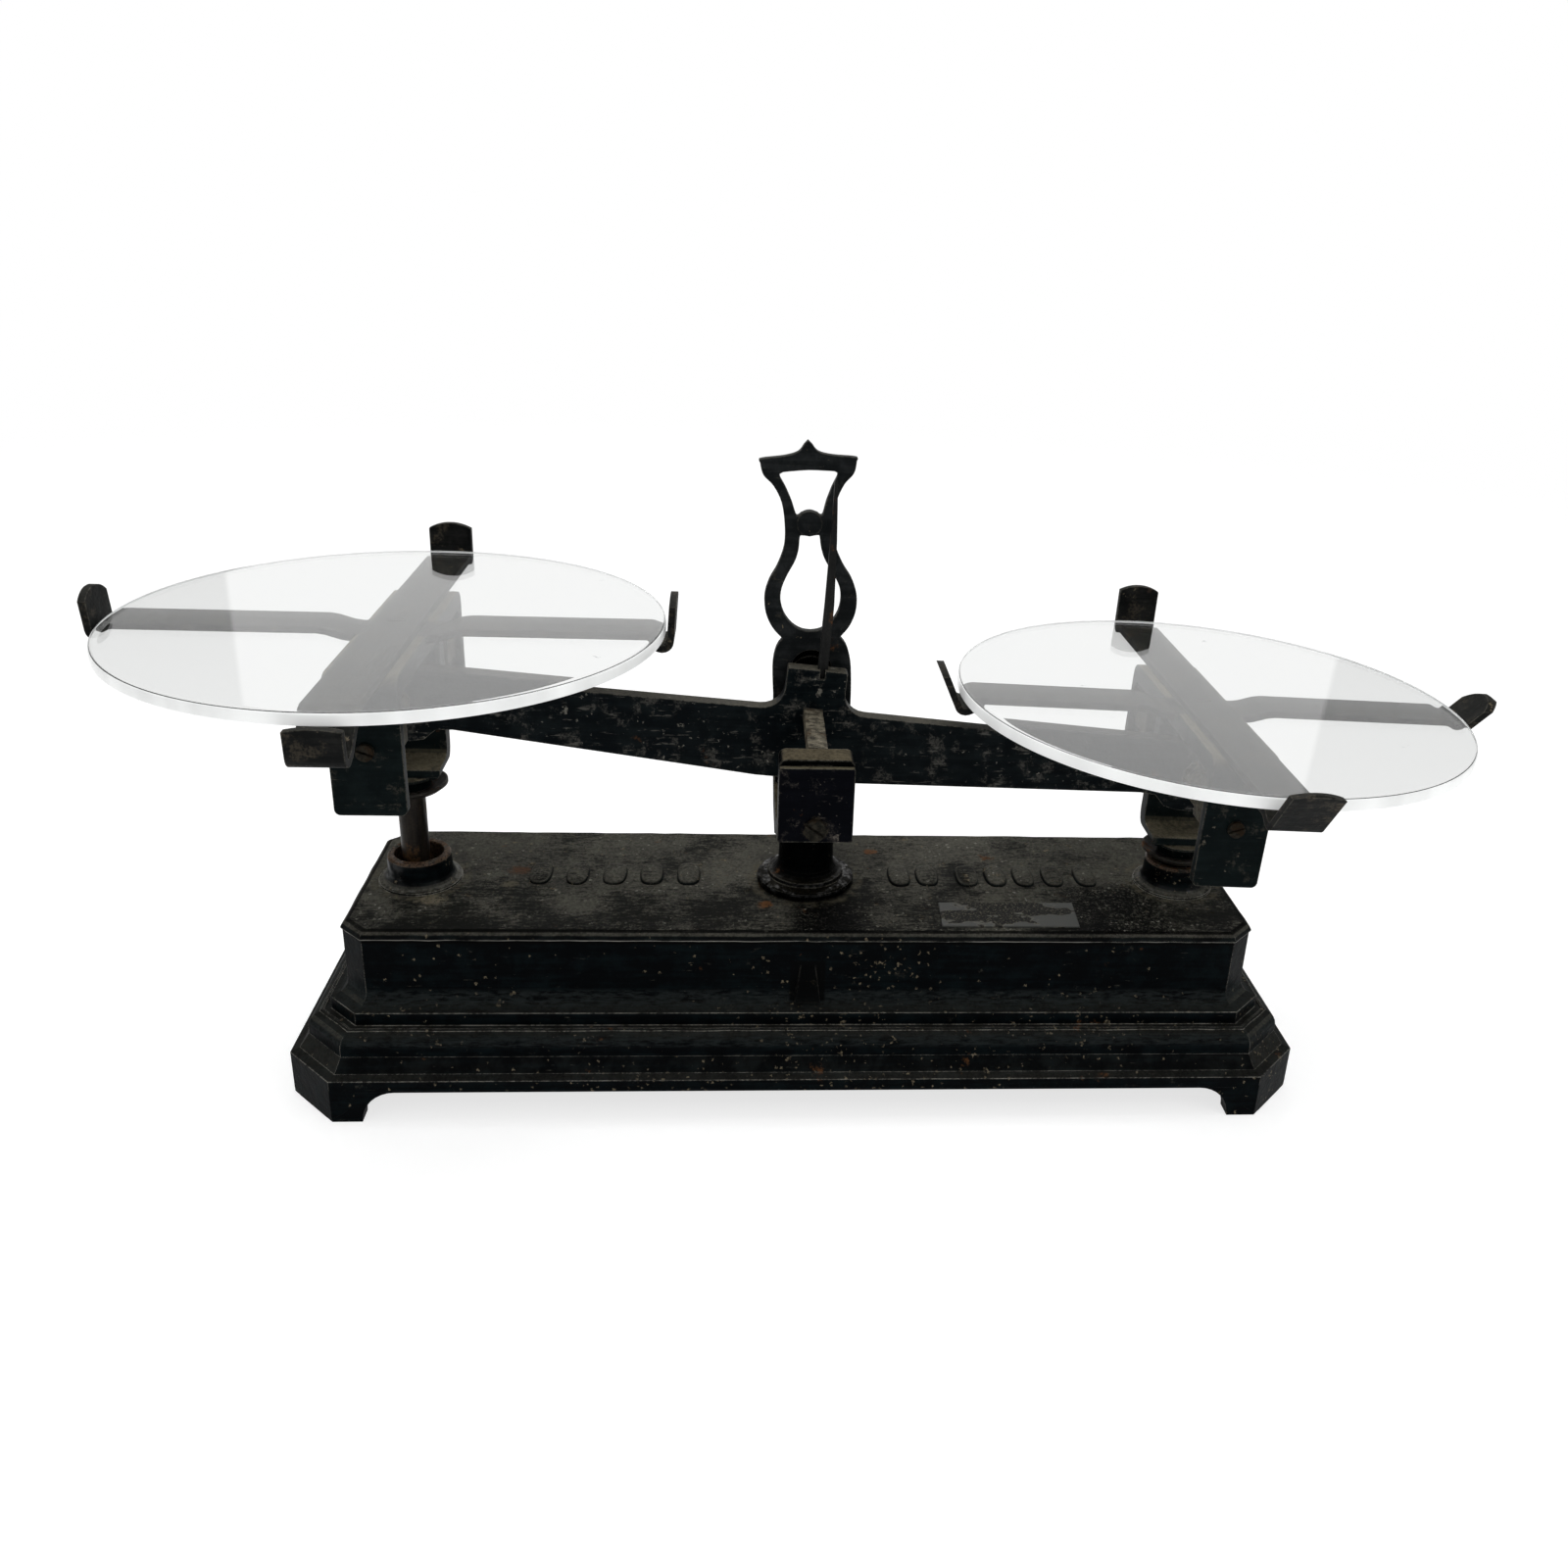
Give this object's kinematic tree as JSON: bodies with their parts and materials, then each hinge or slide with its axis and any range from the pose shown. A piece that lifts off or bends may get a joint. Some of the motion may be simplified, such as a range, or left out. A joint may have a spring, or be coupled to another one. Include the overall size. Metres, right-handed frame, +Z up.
{
  "type": "balance scale",
  "caption": "Counter balance scale with a stepped cast base, tilting beam, clear round pans on cross arms, and a needle in a lyre-shaped index frame.",
  "frame": {"origin": "centre of the base on the plane of its four feet", "axes": "+X along the scale towards the right pan, +Y from the user's side to the back, +Z up"},
  "size_m": [0.6015, 0.2483, 0.2751],
  "materials": {
    "black_paint": "worn glossy paint",
    "worn_steel": "dull",
    "rusty_iron": "rough",
    "clear_sheet": "polished"
  },
  "bodies": {
    "base": {"base_casting": "black_paint", "column": "black_paint", "column_nut": "rusty_iron", "centre_bearings": "worn_steel", "centre_cover_plates": "black_paint", "centre_cover_screws": "rusty_iron", "lyre": "black_paint", "lyre_rivets": "worn_steel", "lever_hanger": "rusty_iron", "lever_pin": "worn_steel"},
    "beam": {"beam": "black_paint", "centre_knife": "worn_steel", "end_knives": "worn_steel", "needle": "black_paint"},
    "lower_lever": {"lower_lever": "black_paint"},
    "left_carrier": {"left_carrier": "black_paint", "left_stem": "worn_steel", "left_collar": "rusty_iron", "left_bearings": "worn_steel", "left_bearing_screws": "rusty_iron", "left_long_strip": "black_paint", "left_cross_strip": "black_paint", "left_hub_screw": "worn_steel", "left_stem_pin": "worn_steel"},
    "right_carrier": {"right_carrier": "black_paint", "right_stem": "worn_steel", "right_collar": "rusty_iron", "right_bearings": "worn_steel", "right_bearing_screws": "rusty_iron", "right_long_strip": "black_paint", "right_cross_strip": "black_paint", "right_hub_screw": "worn_steel", "right_stem_pin": "worn_steel"},
    "left_pan": {"left_pan": "clear_sheet"},
    "right_pan": {"right_pan": "clear_sheet"}
  },
  "joints": [
    {"name": "beam_pivot", "type": "hinge", "parent": "base", "child": "beam", "pos_m": [0, 0, 0.152], "axis": [0, 1, 0], "range_deg": [-9.6, 0]},
    {"name": "left_carrier_hinge", "type": "hinge", "parent": "beam", "child": "left_carrier", "pos_m": [-0.17339, 0, 0.16656], "axis": [0, 1, 0], "range_deg": [0, 9.6]},
    {"name": "right_carrier_hinge", "type": "hinge", "parent": "beam", "child": "right_carrier", "pos_m": [0.17339, 0, 0.13744], "axis": [0, 1, 0], "range_deg": [0, 9.6]},
    {"name": "lower_lever_pivot", "type": "hinge", "parent": "base", "child": "lower_lever", "pos_m": [0, 0, 0.042], "axis": [0, 1, 0], "range_deg": [-9.6, 0]},
    {"name": "left_pan_lift", "type": "slide", "parent": "left_carrier", "child": "left_pan", "axis": [0, 0, 1], "range_m": [0, 0.05]},
    {"name": "right_pan_lift", "type": "slide", "parent": "right_carrier", "child": "right_pan", "axis": [0.0314, 0, 0.9995], "range_m": [0, 0.05]}
  ],
  "couplings": [
    {"joint": "left_carrier_hinge", "follows": "beam_pivot", "ratio": -1},
    {"joint": "right_carrier_hinge", "follows": "beam_pivot", "ratio": -1},
    {"joint": "lower_lever_pivot", "follows": "beam_pivot", "ratio": 1}
  ]
}
